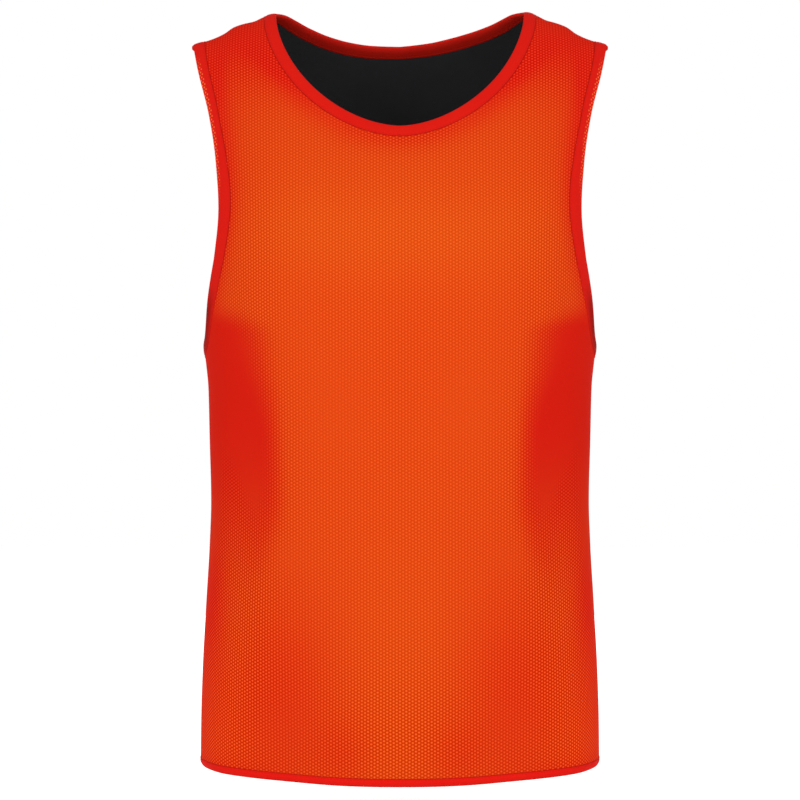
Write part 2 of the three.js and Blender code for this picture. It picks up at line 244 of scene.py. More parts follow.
# Soft folds, each one repeated on the other side: where across the face it starts and ends, its
# drops, its spread across, and its height, which is negative for a trough.
FOLDS = {
    "front": table(
        "start end top bottom spread height",
        (0.56, 0.6, 270, 620, 0.14, -5),
        (0.3, 0.36, 470, 900, 0.13, -5),
        (0.66, 0.64, 520, 900, 0.12, 4),
        (0, 0, 430, 900, 0.14, 2),
        (0.78, 0.42, 215, 345, 0.1, -3),
    ),
    "back": table(
        "start end top bottom spread height",
        (0, 0, 90, 620, 0.2, -3.5),
        (0.4, 0.34, 300, 900, 0.13, -6),
        (0.58, 0.6, 440, 900, 0.11, 4),
        (0.76, 0.5, 215, 380, 0.1, -4),
    ),
}

# Painted light and shade in the cloth's tone: soft ellipses on both sides of the middle, by
# distance out and drop, where the cloth is painted more orange as if lit more, or redder as if in
# shade where the amount is negative. Those beside the seams fade over the back.
TONE_BASE = 0.66
PAINTED_TONES = table(
    "out drop wide tall amount",
    (0, 208, 170, 45, 0.28),
    (140, 22, 100, 60, -0.66),
    (165, 180, 32, 80, -0.26),
    (105, 625, 50, 90, -0.36),
    (48, 672, 24, 32, -0.22),
    (0, 590, 50, 110, 0.14),
    (148, 500, 16, 60, 0.1),
    (102, 420, 24, 130, -0.05),
    (160, 692, 50, 14, -0.28),
)
PAINTED_SIDE_TONES = table(
    "out drop wide tall amount",
    (171, 526, 16, 62, -0.44),
    (173, 600, 16, 120, -0.2),
    (184, 630, 9, 110, -0.3),
)

# Beside the neck and armhole strips the cloth is redder with painted shade: how much, and how far
# that reaches.
STRIP_SHADE_REDNESS = 0.4
STRIP_REACH = 14

# Painted light where the lower sides look brighter, in the same way as the tones, and what the
# cloth's red, green and blue are multiplied by there.
PAINTED_LIGHT_SIDES = table(
    "out drop wide tall amount",
    (178, 675, 36, 110, 1),
)
SIDE_LIGHT_GAIN = (1.11, 0.98, 1, 1)

# How clearly the mesh's dots show, in the same way, and the most that their contrast is raised.
CLARITY_BASE = 0.45
CLARITY_MOST = 1.5
CLARITIES = table(
    "out drop wide tall amount",
    (162, 560, 40, 130, 1.1),
    (0, 660, 150, 70, 0.5),
    (165, 190, 35, 100, 0.25),
    (130, 55, 50, 30, 0.4),
    (122, 350, 26, 180, 0.3),
    (98, 300, 22, 60, -0.12),
    (112, 435, 14, 50, 0.15),
    (101, 497, 16, 16, -0.25),
    (154, 445, 14, 40, 0.5),
    (172, 640, 10, 120, 0.6),
    (0, 118, 50, 16, 0.4),
    (57, 362, 30, 45, -0.2),
    (100, 645, 30, 25, -0.3),
)

# Painted shade under each arm: the smooth area where the mesh's dots don't show, with its inner and
# outer edges, and the smooth strip along the side below it.
SMOOTH_AREA = table(
    "drop inner outer",
    (262, 172, 210),
    (286, 156, 210),
    (308, 136, 210),
    (331, 132, 210),
    (354, 125, 210),
    (376, 121, 200),
    (400, 119.5, 158),
    (423, 119.5, 147),
    (446, 122, 138),
    (468, 127, 132),
)
SMOOTH_STRIP = table(
    "drop inner",
    (300, 160),
    (420, 162),
    (540, 170),
    (640, 182),
)
SMOOTH_SPAN = {"starts": 262, "full": 290, "fades": 436, "ends": 480}
STRIP_SPAN = {"starts": 290, "full": 320, "fades": 520, "ends": 600}
SMOOTH_SOFTNESS = 8

# The redder area of painted shade round the smooth one: the middle of its edge, and how soft that is.
SHADE_RED_AREA = table(
    "drop edge soft",
    (262, 168, 26),
    (280, 152, 26),
    (296, 131, 26),
    (330, 124, 22),
    (356, 117, 18),
    (390, 112, 13),
    (449, 109, 13),
    (495, 118, 13),
    (530, 132, 18),
    (600, 146, 20),
)
SHADE_RED_SPAN = {"starts": 262, "full": 290, "fades": 360, "ends": 580}

# What is on the front's sides fades over the back: the places from front to back where it is
# full and least, and the least share.
WRAP = {"full": -45, "least": 60, "share": 0.3}

# The mesh's dots: the distance between columns and between dots in a column, the heights of the
# lattice's waves at a dot's rim and top, on the cloth and on the armhole strips' fold, a dot's mean
# share, and how far noise moves the dots.
COLUMN_PITCH = 2.79
DOT_PITCH = 3.04
CLOTH_DOT = {"rim": -1.2, "top": 2.8}
FOLD_DOT = {"rim": -0.4, "top": 2.2}
MEAN_DOT = 0.33
DOT_WAVER = 0.9

# The knit of the lining and of the strips, and the strips' stitches, which lie at a distance from
# the free edge.
WALE_PITCH = 1.1
COURSE_PITCH = 0.9
STITCH_PITCH = 3
STITCH_INSET = 1.7
STITCH_HALF = {"ends": 0.55, "full": 0.2}
STITCH_BEAT = {"starts": -0.6, "full": 0.1}

# Dark lines along the panels' seams and along the strips' free edges, and the painted shade that
# darkens the inner side of a strip away from its fold: distances from the seam, the edge and the fold.
MESH_SEAM = {"ends": 1.1, "full": 0.2}
LINING_SEAM = {"ends": 1.6, "full": 0.4}
EDGE_LINE = {"ends": 1.2, "full": 0.1}
STRIP_INNER_SHADE = {"starts": 1, "full": 8}

# The mesh's rows are level with the armpits, and sag a little in the middle.
GRAIN_DROP = 306
GRAIN_SAG = 9
GRAIN_HALF = 180

# Where the armhole strip's fold shows mesh: how far in, between which drops, and on the front only.
FOLD_WIDTH = 5
FOLD_SPAN = {"starts": 40, "full": 60, "fades": 130, "ends": 190}
FOLD_FACE = {"ends": 2, "full": -4}

# Where the armhole strip takes the painted shade of the cloth's red under the arm and loses most of
# its lines, and where its fold lies in painted shade: drops, places from front to back and distances
# from the fold.
ARMPIT_SHADED_RED = {"starts": 225, "full": 275}
LINES_LOST = 0.8
ARMPIT_SHADE = {"starts": 248, "full": 280, "front": -20, "back": 20}
SHADE_WIDTH = {"full": 7, "ends": 16}

# How much light the studio throws back from white cloth, by which seen colours are divided.
LIGHT_LEVEL = 1.5

# Display colours, as the cloth looks in the studio's light, where a red may pass 255 before it is
# divided. Those of the lining and of the sheens are the materials' own.
COLOURS = {
    "ground_red": (204, 14, 0),
    "ground_orange": (208, 60, 0),
    "dot_red": (256, 60, 38),
    "dot_orange": (263, 122, 42),
    "side_shade_red": (209, 24, 14),
    "seam_red": (165, 20, 12),
    "mesh_sheen": (255, 90, 20),
    "lining_dark": (24, 24, 26),
    "lining_light": (34, 34, 35),
    "lining_seam": (14, 14, 16),
    "lining_sheen": (120, 125, 135),
    "strip_dark": (218, 24, 18),
    "strip_light": (228, 36, 20),
    "strip_shaded_red": (214, 29, 19),
    "fold_dark": (205, 26, 18),
    "fold_light": (232, 44, 28),
    "inner_shade_dark": (165, 20, 10),
    "inner_shade_light": (186, 30, 18),
    "edge_dark": (150, 14, 6),
    "thread": (200, 28, 16),
    "fold_dot": (256, 112, 56),
    "armpit_shade": (158, 19, 12),
    "strip_sheen": (255, 80, 30),
}

# Painted light on the hem: how much brighter its red is than the bindings', in display values.
HEM_PAINTED_LIGHT = 14

# How strongly details show in the colours, and how high they stand in the bumps.
TINT = {
    "patches": 0.14,
    "side": 0.6,
    "seam": 0.6,
    "knit": 0.12,
    "edge": 0.6,
    "thread": 0.35,
    "varied": 0.6,
}
RELIEF = {"dots": 0.6, "knit": 0.15, "stitches": 0.8}
SHEEN_ROUGHNESS = 0.5

# The studio, in metres, with the camera's lens in millimetres and the lamps' power in watts.
CAMERA_DISTANCE = 3.2
CAMERA_HEIGHT = -0.3565
CAMERA_LENS = 156.52
WHITE = (1, 1, 1, 1)
SURROUND_STRENGTH = 1
FLOOR_GAP = 0.05
FLOOR_HALF = 6
FLOOR_COLOUR = (0.95, 0.95, 0.95, 1)
FLOOR_ROUGHNESS = 0.9
FLOOR_GLOW = 0.15
LAMP_HEIGHT = 0.1
LAMPS = table(
    "name x y size power",
    ("lamp_front_left", -1.6, -2.6, 1.6, 26),
    ("lamp_front_right", 1.6, -2.6, 1.6, 26),
    ("lamp_back", 0, 3, 2.4, 24),
)


def soft_step(low, high, value):
    """Runs smoothly from 0 at the low value to 1 at the high one, which may be the smaller."""
    s = np.clip((value - low) / (high - low), 0, 1)
    return s * s * (3 - 2 * s)


def smooth_column(rows, key, column):
    """A smooth curve through one column of a table, as a function of its key column."""
    xs = np.array([row[key] for row in rows], float)
    ys = np.array([row[column] for row in rows], float)
    steps = np.diff(ys) / np.diff(xs)
    before = np.concatenate([steps[:1], steps])
    after = np.concatenate([steps, steps[-1:]])
    same_way = before * after > 0
    total = np.where(same_way, before + after, 1)
    slopes = np.where(same_way, 2 * before * after / total, 0)

    def value(at):
        x = np.clip(at, xs[0], xs[-1])
        i = np.clip(np.searchsorted(xs, x, side="right") - 1, 0, len(xs) - 2)
        width = xs[i + 1] - xs[i]
        s = (x - xs[i]) / width
        rise = s * s * (3 - 2 * s)
        leave = s * (1 - s) ** 2 * slopes[i] * width
        arrive = s * s * (s - 1) * slopes[i + 1] * width
        return ys[i] + (ys[i + 1] - ys[i]) * rise + leave + arrive

    return value


half_width = smooth_column(RINGS, "drop", "half")
shoulder_height = smooth_column(SHOULDER_LINE, "out", "height")
face_depth = {face: smooth_column(RINGS, "drop", face) for face in SIGN}


def drop_at(level):
    """The drop at a level, which counts along the cloth and crowds together over the crest."""
    return np.where(level < CREST, level**2 / (2 * CREST), level - CREST / 2)


def level_at(drop):
    """The level at a drop."""
    return np.where(drop < CREST / 2, np.sqrt(2 * CREST * drop), drop + CREST / 2)


def slope_share(drop):
    """How much of the shoulder line's slope is left at a drop."""
    return np.maximum(0, 1 - drop / SLOPE_FADE) ** 2


def crown_share(drop, height):
    """How much of a face's depth there is at a drop, where it rounds in over the shoulders."""
    return np.sqrt(1 - np.maximum(0, 1 - drop / height) ** 2)


def fold_height(folds, across, drop):
    """How far the folds push a face out, at places across it and drops."""
    height = np.zeros(np.broadcast(across, drop).shape)
    for fold in folds:
        along = (drop - fold["top"]) / (fold["bottom"] - fold["top"])
        inside = (along > 0) & (along < 1)
        strength = np.where(inside, fold["height"] * np.sin(np.pi * along) ** 2, 0)
        middle = fold["start"] + (fold["end"] - fold["start"]) * along
        sides = (1,) if fold["start"] == fold["end"] == 0 else (-1, 1)
        for side in sides:
            height = height + strength * np.exp(-(((across - side * middle) / fold["spread"]) ** 2))
    return height * np.maximum(0, np.cos(across * QUARTER)) ** FOLD_FADE


def bell(lean, x):
    """The height of a lean at a place from left to right."""
    return lean["height"] * np.exp(-(((x - lean["out"]) / lean["spread"]) ** 2))


def lean_height(front, x, drop):
    """How much higher the cloth stands on the right, at the back neckline and the shoulder."""
    sets_in = soft_step(NECK_LEAN["starts"], NECK_LEAN["full"], drop)
    neck = bell(NECK_LEAN, x) * sets_in * np.exp(-((drop / NECK_LEAN["fade"]) ** 2))
    return np.where(front, 0, neck) + bell(SHOULDER_LEAN, x) * slope_share(drop)


def cloth(places):
    """Points of the cloth's middle surface, for rows of across and level.

    Across runs from -1 to 1 between the side seams, and the level is positive on the front and
    negative on the back.
    """
    across, level = places[..., 0], places[..., 1]
    beyond = np.abs(across) > 1
    across = np.where(beyond, np.sign(across) * (2 - np.abs(across)), across)
    level = np.where(beyond, -level, level)
    front = level >= 0
    drop = drop_at(np.abs(level))
    power = 2 / RING_ROUNDNESS
    sine = np.sin(across * QUARTER)
    cosine = np.maximum(0, np.cos(across * QUARTER))
    x = half_width(drop) * np.sign(sine) * np.abs(sine) ** power
    depth = {face: face_depth[face](drop) * crown_share(drop, CROWN[face]) for face in SIGN}
    y = np.where(front, -depth["front"], depth["back"]) * cosine**power
    z = shoulder_height(np.abs(x)) * slope_share(drop) - drop
    z = z + lean_height(front, x, drop)
    reach = np.maximum(np.hypot(x, y), 1e-6)
    folds = {face: fold_height(FOLDS[face], across, drop) for face in SIGN}
    swell = 1 + np.where(front, folds["front"], folds["back"]) / reach
    return np.stack([x * swell, y * swell, z], axis=-1)


def moved(places, across=0.0, level=0.0):
    return places + np.array([across, level])


def across_rate(places):
    return (cloth(moved(places, across=PROBE)) - cloth(moved(places, across=-PROBE))) / (2 * PROBE)


def level_rate(places):
    return (cloth(moved(places, level=PROBE)) - cloth(moved(places, level=-PROBE))) / (2 * PROBE)


def unit(vectors):
    return vectors / np.maximum(np.linalg.norm(vectors, axis=-1, keepdims=True), 1e-9)


def dot_product(a, b):
    return (a * b).sum(axis=-1)


def outward(places):
    """The cloth's outward normals."""
    return unit(np.cross(level_rate(places), across_rate(places)))


def raised(places, offsets):
    """Points of the cloth, moved out by offsets."""
    return cloth(places) + outward(places) * np.asarray(offsets)[..., None]


def locate(face, x, drop):
    """The places on a face that show at distances from the middle and drops in the front view."""
    level = drop
    for _ in range(LOCATE_ROUNDS):
        level = np.maximum(0, drop + shoulder_height(np.abs(x)) * slope_share(level))
    share = np.minimum(1, np.abs(x) / half_width(level))
    across = np.sign(x) * np.arcsin(share ** (RING_ROUNDNESS / 2)) / QUARTER
    return np.stack([across, -SIGN[face] * level_at(level)], axis=-1)


def crowded(share):
    """Crowds evenly spaced shares towards both ends."""
    return share - END_CROWDING * np.sin(2 * np.pi * share) / (2 * np.pi)


def lengths_along(points):
    steps = np.linalg.norm(np.diff(points, axis=0), axis=-1)
    return np.concatenate([[0], np.cumsum(steps)])


def spread(places, segments):
    """Places along an outline, crowded towards both ends, with the same number for any length."""
    lengths = lengths_along(cloth(places))
    targets = lengths[-1] * crowded(np.linspace(0, 1, segments + 1))
    return np.stack([np.interp(targets, lengths, places[:, k]) for k in (0, 1)], axis=1)


def neck_half(face):
    """Half of the neckline on one face, from the middle to the shoulder seam."""
    angle = np.linspace(0, QUARTER, OUTLINE_SAMPLES + 1)
    if face == "front":
        power = 2 / NECK_ROUNDNESS
        x = NECK_HALF * np.sin(angle) ** power
        drop = NECK_DROP_FRONT * np.maximum(0, np.cos(angle)) ** power
    else:
        x = NECK_HALF * np.sin(angle)
        drop = smooth_column(NECK_BACK, "out", "drop")(x)
    places = locate(face, x, drop - shoulder_height(x))
    places[-1, 1] = 0
    return spread(places, EDGE_STEPS)


def armhole_edge(face):
    """The armhole's edge on one face, from the shoulder seam down to the side seam."""
    rows = ARMHOLE[face]
    out = smooth_column(rows, "drop", "out")
    top = rows[0]["drop"]
    angle = np.linspace(0, QUARTER, OUTLINE_SAMPLES + 1)[:-1]
    drop = ARMPIT_DROP + (top - ARMPIT_DROP) * np.cos(angle)
    places = locate(face, out(drop), drop)
    places[0] = (locate(face, np.array(float(SHOULDER_HALF)), np.array(float(top)))[0], 0)
    foot = (1, -SIGN[face] * float(level_at(np.array(ARMPIT_DROP))))
    return spread(np.vstack([places, foot]), EDGE_STEPS)


def hem_edge(face, row):
    """The hem's edge on one face, from the left side seam to the right one, under a row."""
    across = row[:, 0].copy()
    across[0], across[-1] = -1, 1
    drop = HEM_DROP_SIDE + HEM_DIP[face] * np.cos(across * QUARTER) ** HEM_DIP_FOCUS
    return np.stack([across, -SIGN[face] * level_at(drop)], axis=-1)


def mirrored(places):
    return places * np.array([-1, 1])


def walk(loop, towards, distance):
    """The places that lie a distance into the cloth, square to a closed outline.

    The distance is one number, or one for each station. The side is the one that points towards
    the given vector at the first station, and a station on a seam stays on it.
    """
    points = cloth(loop)
    ahead, behind = np.roll(points, -1, axis=0), np.roll(points, 1, axis=0)
    direction = unit(np.cross(outward(loop), ahead - behind))
    direction = direction * np.sign(direction[0] @ np.array(towards, float))
    on_shoulder = loop[:, 1] == 0
    on_side = np.abs(loop[:, 0]) == 1
    for held, rate in ((on_shoulder, across_rate), (on_side, level_rate)):
        seam = unit(rate(loop))
        seam = seam * np.sign(dot_product(seam, direction))[:, None]
        direction = np.where(held[:, None], seam, direction)
    at = loop.copy()
    steps = max(1, math.ceil(np.max(distance) / INSET_STEP))
    for _ in range(steps):
        normal = outward(at)
        direction = unit(direction - normal * dot_product(direction, normal)[:, None])
        a, b = across_rate(at), level_rate(at)
        aa, ab, bb = dot_product(a, a), dot_product(a, b), dot_product(b, b)
        da, db = dot_product(direction, a), dot_product(direction, b)
        scale = distance / steps / (aa * bb - ab * ab)
        at[:, 0] += np.where(on_side, 0, (da * bb - db * ab) * scale)
        at[:, 1] += np.where(on_shoulder, 0, (db * aa - da * ab) * scale)
    return at


def kept_on(face, places):
    """Places kept between the seams of one face."""
    level = -SIGN[face] * np.abs(places[:, 1])
    return np.stack([np.clip(places[:, 0], -1, 1), level], axis=-1)


def lerp(a, b, share):
    return a + (b - a) * share


def arch_half(neck, arm):
    """The arch on the right: it leaves the armhole nearly level and rises to the neckline."""
    foot, head = arm[EDGE_STEPS - FOOT_STEPS], neck[FOOT_STEPS]
    corner = np.array([
        lerp(foot[0], head[0], ARCH_CORNER["inward"]),
        lerp(foot[1], head[1], ARCH_CORNER["upward"]),
    ])
    share = np.linspace(0, 1, ARCH_STEPS + 1)[:, None]
    return lerp(lerp(foot, corner, share), lerp(corner, head, share), share)


def top_row(neck, arm):
    """The row across the top of a panel's body, from the left side seam to the right one."""
    foot = arm[EDGE_STEPS - FOOT_STEPS + 1:][::-1]
    right = np.vstack([foot, arch_half(neck, arm), neck[:FOOT_STEPS][::-1]])
    return np.vstack([mirrored(right), right[::-1][1:]])


def strap_rows(neck, arm):
    """The right strap's rows, each from the armhole to the neckline, blended from its edges."""
    count = EDGE_STEPS - FOOT_STEPS
    row = np.arange(count + 1)
    rise = (1 - crowded((count - row) / EDGE_STEPS) / crowded(count / EDGE_STEPS))[:, None, None]
    share = np.linspace(0, 1, ARCH_STEPS + 1)[None, :, None]
    low = arch_half(neck, arm)[None]
    high = lerp(arm[0], neck[EDGE_STEPS], share)
    sideways = lerp(arm[count - row][:, None], neck[FOOT_STEPS + row][:, None], share)
    corners = lerp(lerp(arm[count], neck[FOOT_STEPS], share), high, rise)
    return lerp(low, high, rise) + sideways - corners


def grid_faces(index, flipped):
    """The quads of a grid of vertex numbers."""
    a, b, c, d = index[:-1, :-1], index[:-1, 1:], index[1:, 1:], index[1:, :-1]
    order = (a, d, c, b) if flipped else (a, b, c, d)
    return np.stack(order, axis=-1).reshape(-1, 4)


def panel_sheet(face, neck, arm, hem, top):
    """The places of one panel and its quads: rows up from the hem, and then the two straps."""
    share = np.linspace(0, 1, BODY_ROWS + 1)[:, None, None]
    body = lerp(hem[None], top[None], share)
    columns = body.shape[1]
    index = np.arange(body.shape[0] * columns).reshape(body.shape[:2])
    places = [body.reshape(-1, 2)]
    flipped = face == "back"
    faces = [grid_faces(index, flipped)]
    straps = strap_rows(neck, arm)[1:]
    total = index.size
    left_foot = index[-1, FOOT_STEPS:FOOT_STEPS + ARCH_STEPS + 1]
    right_foot = index[-1, ::-1][FOOT_STEPS:FOOT_STEPS + ARCH_STEPS + 1]
    for foot, rows, turned in ((left_foot, mirrored(straps), False), (right_foot, straps, True)):
        upper = total + np.arange(rows.shape[0] * rows.shape[1]).reshape(rows.shape[:2])
        total += upper.size
        places.append(rows.reshape(-1, 2))
        faces.append(grid_faces(np.vstack([foot, upper]), flipped != turned))
    return np.vstack(places), np.vstack(faces)


def arc_tables(face):
    """Lengths along the cloth from the middle and from the shoulder seam, on an even grid."""
    deepest = float(level_at(np.array(HEM_DROP_SIDE + TABLE_REACH)))
    across = np.linspace(0, 1, TABLE_STEPS + 1)
    level = np.linspace(0, deepest, TABLE_STEPS + 1)
    grid = np.stack(np.meshgrid(across, -SIGN[face] * level, indexing="ij"), axis=-1)
    points = cloth(grid)
    sideways = np.linalg.norm(np.diff(points, axis=0), axis=-1)
    downwards = np.linalg.norm(np.diff(points, axis=1), axis=-1)
    across_table = np.vstack([np.zeros(TABLE_STEPS + 1), np.cumsum(sideways, axis=0)])
    down_table = np.hstack([np.zeros((TABLE_STEPS + 1, 1)), np.cumsum(downwards, axis=1)])
    return across_table, down_table, deepest


def read_table(lengths, across, level, deepest):
    """A length between the points of a table's even grid."""
    a = np.clip(np.abs(across), 0, 1) * TABLE_STEPS
    b = np.clip(np.abs(level) / deepest, 0, 1) * TABLE_STEPS
    i = np.minimum(a.astype(int), TABLE_STEPS - 1)
    j = np.minimum(b.astype(int), TABLE_STEPS - 1)
    s, t = a - i, b - j
    low = lerp(lengths[i, j], lengths[i + 1, j], s)
    high = lerp(lengths[i, j + 1], lengths[i + 1, j + 1], s)
    return lerp(low, high, t)


def summed(base, spots, points):
    """A value over the cloth: a base with soft ellipses added."""
    out, drop = np.abs(points[:, 0]), -points[:, 2]
    value = np.full(len(points), float(base))
    for spot in spots:
        sideways = (out - spot["out"]) / spot["wide"]
        downwards = (drop - spot["drop"]) / spot["tall"]
        value += spot["amount"] * np.exp(-(sideways**2) - downwards**2)
    return value


def span_share(span, drop):
    """Rises from 0 to 1 between a span's first two drops, and falls back between its last two."""
    rising = soft_step(span["starts"], span["full"], drop)
    return rising * soft_step(span["ends"], span["fades"], drop)


def nearness(points, outline, start, reach):
    """1 up to a start distance from an outline's points, and about a third at a reach beyond it."""
    gap = np.full(len(points), np.inf)
    for corner in outline:
        gap = np.minimum(gap, np.linalg.norm(points - corner, axis=1))
    return np.exp(-((np.maximum(0, gap - start) / reach) ** 2))


def wrap(points):
    """Fades what is on the front's sides over the back."""
    return lerp(WRAP["share"], 1, soft_step(WRAP["least"], WRAP["full"], points[:, 1]))


def side_shade_of(points):
    """How far the cloth at points has the painted shade of the sides, a deeper red."""
    out, drop = np.abs(points[:, 0]), -points[:, 2]
    edge = smooth_column(SHADE_RED_AREA, "drop", "edge")(drop)
    soft = smooth_column(SHADE_RED_AREA, "drop", "soft")(drop)
    return soft_step(-soft, soft, out - edge) * span_share(SHADE_RED_SPAN, drop) * wrap(points)


def painted_tone_of(points):
    """How orange the cloth is at points, from 0 to 1, with painted light making it more orange and
    painted shade redder.
    """
    painted_tone = summed(TONE_BASE, PAINTED_TONES, points) + summed(0, PAINTED_SIDE_TONES, points) * wrap(points)
    for outline in (cloth(neck_loop), cloth(arm_loop), cloth(mirrored(arm_loop))):
        painted_tone -= STRIP_SHADE_REDNESS * nearness(points, outline, BINDING_WIDTH, STRIP_REACH)
    return np.clip(painted_tone * (1 - side_shade_of(points)), 0, 1)


def side_light_of(points):
    """How far the lower sides get painted light, as a brighter red."""
    return np.clip(summed(0, PAINTED_LIGHT_SIDES, points), 0, 1) * wrap(points)


def dots_shown(points):
    """How clearly the mesh's dots show at points, from 0 to the most, less in the painted shade under the
    arms.
    """
    out, drop = np.abs(points[:, 0]), -points[:, 2]
    inner = smooth_column(SMOOTH_AREA, "drop", "inner")(drop)
    outer = smooth_column(SMOOTH_AREA, "drop", "outer")(drop)
    strip_inner = smooth_column(SMOOTH_STRIP, "drop", "inner")(drop)
    in_area = soft_step(-SMOOTH_SOFTNESS, SMOOTH_SOFTNESS, out - inner)
    in_area = in_area * soft_step(-SMOOTH_SOFTNESS, SMOOTH_SOFTNESS, outer - out)
    in_area = in_area * span_share(SMOOTH_SPAN, drop)
    in_strip = soft_step(-SMOOTH_SOFTNESS, SMOOTH_SOFTNESS, out - strip_inner)
    in_strip = in_strip * span_share(STRIP_SPAN, drop)
    clarity = np.clip(summed(CLARITY_BASE, CLARITIES, points), 0, CLARITY_MOST)
    return clarity * (1 - np.maximum(in_area, in_strip) * wrap(points))


def make_mesh(name, points, faces, attributes):
    """A smooth mesh object in metres, with attributes on its vertices."""
    mesh = bpy.data.meshes.new(name)
    mesh.from_pydata((points * MM).tolist(), [], faces.tolist())
    mesh.update()
    mesh.polygons.foreach_set("use_smooth", np.ones(len(mesh.polygons), bool))
    for key, values in attributes.items():
        values = np.asarray(values, np.float32)
        if values.ndim == 1:
            mesh.attributes.new(key, "FLOAT", "POINT").data.foreach_set("value", values)
        else:
            layer = mesh.attributes.new(key, "FLOAT_VECTOR", "POINT")
            layer.data.foreach_set("vector", values.ravel())
    piece = bpy.data.objects.new(name, mesh)
    bpy.context.scene.collection.objects.link(piece)
    return piece


def linear(name, lift=0):
    """A display colour as the renderer's linear one, with its red lifted by a display value."""
    red, green, blue = COLOURS[name]
    shares = [value / 255 for value in (red + lift, green, blue)]
    return tuple(s / 12.92 if s <= 0.04045 else ((s + 0.055) / 1.055) ** 2.4 for s in shares) + (1,)


def dyed(name, lift=0):
    """The cloth colour that looks like a display colour under the studio's light."""
    return tuple(value / LIGHT_LEVEL for value in linear(name, lift)[:3]) + (1,)


class Nodes:
    """A material's node tree, with short calls for the nodes used here."""

    def __init__(self, name, roughness, sheen, sheen_colour, specular):
        self.material = bpy.data.materials.new(name)
        self.material.use_nodes = True
        self.tree = self.material.node_tree
        self.shader = self.tree.nodes["Principled BSDF"]
        self.shader.inputs["Roughness"].default_value = roughness
        self.shader.inputs["Sheen Weight"].default_value = sheen
        self.shader.inputs["Sheen Roughness"].default_value = SHEEN_ROUGHNESS
        self.shader.inputs["Sheen Tint"].default_value = linear(sheen_colour)
        self.shader.inputs["Specular IOR Level"].default_value = specular

    def set(self, socket, value):
        if isinstance(value, bpy.types.NodeSocket):
            self.tree.links.new(value, socket)
        else:
            socket.default_value = value

    def attribute(self, name, output):
        node = self.tree.nodes.new("ShaderNodeAttribute")
        node.attribute_name = name
        return node.outputs[output]

    def parts(self, vector):
        node = self.tree.nodes.new("ShaderNodeSeparateXYZ")
        self.set(node.inputs[0], vector)
        return node.outputs

    def math(self, operation, *values, clamp=False):
        node = self.tree.nodes.new("ShaderNodeMath")
        node.operation = operation
        node.use_clamp = clamp
        for socket, value in zip(node.inputs, values):
            self.set(socket, value)
        return node.outputs[0]

    def add(self, a, b, clamp=False):
        return self.math("ADD", a, b, clamp=clamp)

    def times(self, a, b):
        return self.math("MULTIPLY", a, b)

    def wave(self, value, pitch):
        """A cosine wave along a value, with one crest in each pitch."""
        return self.math("COSINE", self.times(value, 2 * math.pi / pitch))

    def step(self, value, low, high):
        """Runs smoothly from 0 at the low value to 1 at the high one."""
        node = self.tree.nodes.new("ShaderNodeMapRange")
        node.interpolation_type = "SMOOTHSTEP"
        self.set(node.inputs["Value"], value)
        node.inputs["From Min"].default_value = low
        node.inputs["From Max"].default_value = high
        return node.outputs["Result"]

    def line(self, distance, span):
        """A line that is full near a distance of 0, and ends further away."""
        return self.step(distance, span["ends"], span["full"])

    def mix(self, share, a, b, blend="MIX"):
        node = self.tree.nodes.new("ShaderNodeMix")
        node.data_type = "RGBA"
        node.blend_type = blend
        self.set(node.inputs["Factor"], share)
        self.set(node.inputs[6], a)
        self.set(node.inputs[7], b)
        return node.outputs[2]

    def noise(self, scale, detail=2.0):
        where = self.tree.nodes.new("ShaderNodeTexCoord")
        node = self.tree.nodes.new("ShaderNodeTexNoise")
        self.set(node.inputs["Vector"], where.outputs["Object"])
        node.inputs["Scale"].default_value = scale
        node.inputs["Detail"].default_value = detail
        return node.outputs[0]

    def centred_noise(self, amount, scale, detail=2.0):
        """Noise about 0, times an amount."""
        return self.times(self.math("SUBTRACT", self.noise(scale, detail), 0.5), amount)

    def bump(self, height, distance, strength):
        node = self.tree.nodes.new("ShaderNodeBump")
        self.set(node.inputs["Height"], height)
        node.inputs["Distance"].default_value = distance
        node.inputs["Strength"].default_value = strength
        self.set(self.shader.inputs["Normal"], node.outputs[0])

    def base(self, colour):
        self.set(self.shader.inputs["Base Color"], colour)
        return self.material


def lattice(nodes, across, down, dot):
    """The mesh's dots: columns at the column pitch, each shifted by half a dot's pitch."""
    columns = nodes.wave(across, COLUMN_PITCH)
    crossed = nodes.times(nodes.wave(across, 2 * COLUMN_PITCH), nodes.wave(down, DOT_PITCH))
    pattern = nodes.add(columns, nodes.times(crossed, 2))
    return nodes.step(pattern, dot["rim"], dot["top"])


